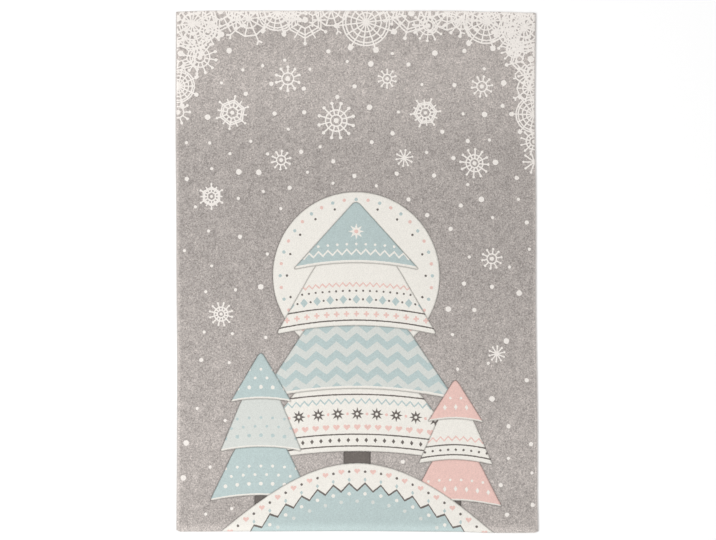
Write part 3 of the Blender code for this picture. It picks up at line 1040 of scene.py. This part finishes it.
def new_piece(name, places, faces, material, normals=None, painted_light_and_shade=None, bake_map=None):
    """A mesh piece. bake_map has a place for each corner of its faces."""
    mesh = bpy.data.meshes.new(name)
    mesh.from_pydata(places, [], faces)
    mesh.materials.append(material)
    mesh.shade_smooth()
    # Painted light and shade, point by point
    if painted_light_and_shade is not None:
        mesh.attributes.new("painted_light_and_shade", "FLOAT", "POINT").data.foreach_set("value", painted_light_and_shade)
    if bake_map is not None:
        layer = mesh.uv_layers.new(name="OFBake")
        layer.uv.foreach_set("vector", bake_map.astype(np.float32).ravel())
    if normals is not None:
        mesh.normals_split_custom_set_from_vertices(normals)
    piece = new_object(name, mesh)
    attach(piece, "root")
    return piece


def spread(spots):
    """A bake map: flat places, stretched to fill it but for a margin."""
    low, high = spots.min(axis=0), spots.max(axis=0)
    return MAP_MARGIN + (1 - 2 * MAP_MARGIN) * (spots - low) / (high - low)


def folded(spots, faces):
    """The bake map of a long strip. Its lower half fills the left half of the map and its upper
    half the right, for more detail."""
    (left, low), (right, high) = spots.min(axis=0), spots.max(axis=0)
    x, y = np.moveaxis(spots[faces], 2, 0)
    upper = y.mean(axis=1) > (low + high) / 2
    tall = (high - low) / 2 + MAP_OVERLAP
    start = np.where(upper, high - tall, low)
    across = MAP_MARGIN + (0.5 - 2 * MAP_MARGIN) * ((x - left) / (right - left)) + 0.5 * upper[:, None]
    along = MAP_MARGIN + (1 - 2 * MAP_MARGIN) * ((y - start[:, None]) / tall)
    return np.stack([across, along], axis=2).reshape(-1, 2)


def pile_parts(yarns, across):
    """Name, yarn and triangles of each piece: three strips of grey, then the other yarns."""
    strip = np.clip(((across + HALF_X) / (2 * HALF_X) * len(STRIPS)).astype(int), 0, len(STRIPS) - 1)
    parts = [(f"pile_grey_{side}", "grey", (yarns == "grey") & (strip == i)) for i, side in enumerate(STRIPS)]
    return parts + [(f"pile_{yarn}", yarn, yarns == yarn) for yarn in YARNS if yarn != "grey"]


def pile_pieces():
    spots, triangles, yarns, groove = pile_mesh()
    relief = np.zeros(len(spots))
    for name, yarn in YARNS.items():
        relief[triangles[yarns == name]] = yarn.relief
    places, shade, lit = shaped(spots, triangles, groove, relief)
    normals = vertex_normals(places, triangles)
    materials = {yarn: pile_material(yarn) for yarn in YARNS}
    pieces = []
    for name, yarn, chosen in pile_parts(yarns, spots[triangles].mean(axis=1)[:, 0]):
        used, faces = np.unique(triangles[chosen], return_inverse=True)
        faces = faces.reshape(-1, 3)
        # Painted shade of the grooves, times the painted light and shade of the pile's lean, as much as this
        # yarn takes
        painted_light_and_shade = shade[used] * lit[used] ** YARNS[yarn].lean
        flat = spots[used]
        bake_map = folded(flat, faces) if yarn == "grey" else spread(flat)[faces.ravel()]
        piece = new_piece(name, places[used], faces, materials[yarn], normals[used], painted_light_and_shade, bake_map)
        pieces.append(piece)
    return pieces


def back_piece():
    """A thin closed slab under the pile."""
    across = np.linspace(-HALF_X + GAP, HALF_X - GAP, BACK_COLUMNS + 1)
    along = np.linspace(-HALF_Y + GAP, HALF_Y - GAP, BACK_ROWS + 1)
    x, y = (a.ravel() for a in np.meshgrid(across, along))
    shift_x, shift_y = soft_corner(HALF_X - np.abs(x), HALF_Y - np.abs(y), y > 0)
    x, y = plan(x - np.sign(x) * shift_x, y - np.sign(y) * shift_y)
    count = len(x)
    places = np.concatenate([np.c_[x, y, np.full(count, z)] for z in (BACK_TOP, 0.0)])
    stride = BACK_COLUMNS + 1
    numbers = np.arange(count).reshape(-1, stride)
    top = [(i, i + 1, i + stride + 1, i + stride) for i in numbers[:-1, :-1].ravel().tolist()]
    under = [tuple(count + i for i in reversed(face)) for face in top]
    sides = (numbers[0, :-1], numbers[:-1, -1], numbers[-1, :0:-1], numbers[:0:-1, 0])
    rim = np.concatenate(sides).tolist()
    walls = [(b, a, a + count, b + count) for a, b in sides_of(rim)]
    piece = new_piece("woven_back", places, top + under + walls, back_material())
    piece.data.set_sharp_from_angle(angle=radians(BACK_SHARP))
    return piece


def tube_faces(rings):
    """The faces of a closed tube with so many rings after its first."""
    here = np.arange((rings + 1) * WRAP_SIDES).reshape(-1, WRAP_SIDES)
    after = np.roll(here, -1, axis=1)
    sides = np.stack([here[:-1], here[1:], after[1:], after[:-1]], axis=2).reshape(-1, 4)
    return [*sides.tolist(), here[0].tolist(), here[-1, ::-1].tolist()]


def overcast_piece(side, material):
    """The cord along one long edge, wrap by wrap."""
    sign = -1 if side == "left" else 1
    low, high = -LENGTH / 2 + LOWER_CORD_END, LENGTH / 2 - UPPER_CORD_END
    rings = int((high - low) / WRAP_PITCH * WRAP_RINGS)
    travel = np.linspace(low, high, rings + 1)
    angle = 2 * np.pi * np.arange(WRAP_SIDES) / WRAP_SIDES
    x, y = plan(np.full(rings + 1, sign * (WIDTH / 2 - CORD_RADIUS)), travel)
    phase = np.pi * travel[:, None] / WRAP_PITCH + WRAP_SLANT * np.sin(angle)
    crease = 1 - np.abs(np.sin(phase))
    hills = value_noise(travel[:, None], WRAP_ROUND * angle, WRAP_PATCH, WRAP_SEED)
    to_end = np.minimum(travel - low, high - travel)
    ends = np.sqrt(np.clip(1 - (1 - to_end / WRAP_CAP).clip(0) ** 2, WRAP_BLUNT, 1))
    radius = CORD_RADIUS * ((1 - WRAP_DEPTH * crease) * (1 + WRAP_UNEVEN * hills)) * ends[:, None]
    radius = np.minimum(radius, CORD_RADIUS)
    px = x[:, None] + radius * np.cos(angle)
    pz = CORD_RADIUS + radius * np.sin(angle)
    places = np.stack(np.broadcast_arrays(px, y[:, None], pz), axis=-1).reshape(-1, 3)
    # Painted shade in the creases between the wraps
    painted_light_and_shade = (1 - CREASE_SHADE * crease**2).ravel()
    piece = new_piece(f"overcast_{side}_yarn", places, tube_faces(rings), material, painted_light_and_shade=painted_light_and_shade)
    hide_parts(f"overcast_{side}")
    return piece


# ---- Floor, light and camera
def floor():
    mesh = bpy.data.meshes.new("floor")
    corners = [(x, y, 0) for x, y in rectangle(FLOOR_HALF, FLOOR_HALF)]
    mesh.from_pydata(corners, [], [(0, 1, 2, 3)])
    shade = (*[FLOOR_SHADE] * 3, 1.0)
    looks = {"Base Color": shade, "Roughness": 0.7, "Specular IOR Level": 0.2}
    mesh.materials.append(new_material("floor", looks)[0])
    piece = new_object("floor", mesh)
    piece.location.z = -FLOOR_DROP


def light():
    """White light from all round, and a wide soft lamp pointed at the rug."""
    world = bpy.data.worlds.new("studio")
    world.use_nodes = True
    sky = world.node_tree.nodes["Background"]
    sky.inputs["Color"].default_value = (1, 1, 1, 1)
    sky.inputs["Strength"].default_value = SKY_STRENGTH
    bpy.context.scene.world = world
    lamp = bpy.data.lights.new("key", "AREA")
    lamp.size = LAMP_SIZE
    lamp.energy = LAMP_POWER
    made = new_object("key", lamp)
    made.location = LAMP_PLACE
    made.rotation_euler = (-Vector(LAMP_PLACE)).to_track_quat("-Z", "Y").to_euler()
    bpy.context.scene.view_settings.view_transform = "Standard"


def camera():
    lens = bpy.data.cameras.new("camera")
    lens.lens = LENS
    lens.sensor_width = SENSOR
    made = new_object("camera", lens)
    seen = PIXEL * PHOTO_WIDTH
    right = (PHOTO_WIDTH / 2 - RUG_CENTRE_PX[0]) * PIXEL
    up = (RUG_CENTRE_PX[1] - PHOTO_HEIGHT / 2) * PIXEL
    made.location = (right, up, seen * LENS / SENSOR + PILE_TOP)
    bpy.context.scene.camera = made


def main():
    camera()
    floor()
    light()
    paint()
    pile = pile_pieces()
    back = back_piece()
    yarn = edge_material()
    edges = [overcast_piece(side, yarn) for side in ("left", "right")]
    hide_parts("rug_body")


main()
